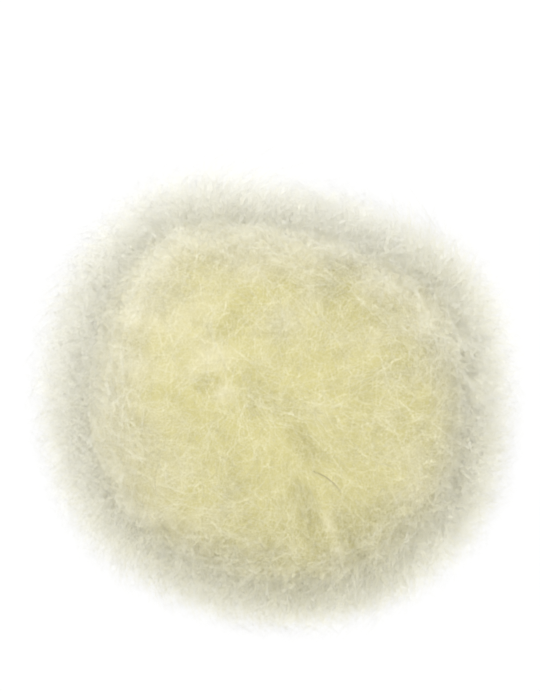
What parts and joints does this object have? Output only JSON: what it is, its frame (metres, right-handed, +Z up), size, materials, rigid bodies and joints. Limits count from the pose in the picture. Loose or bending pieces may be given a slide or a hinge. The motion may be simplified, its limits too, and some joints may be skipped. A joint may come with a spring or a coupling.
{
  "type": "pom pom",
  "caption": "Round, soft fur pom pom in cream, lying on its back with its crown up; a trim that is sewn or tied on by its back.",
  "frame": {"origin": "centre of the small flat spot that the ball lies on", "axes": "+Z up through the crown that faces the viewer of the picture, +X to the picture's right, +Y to the picture's top"},
  "size_m": [0.1282, 0.1239, 0.1068],
  "materials": {
    "hair": "fine soft animal hair, cream to pale yellow, with no shine"
  },
  "bodies": {
    "root": {"pom_pom": "hair"}
  },
  "joints": []
}
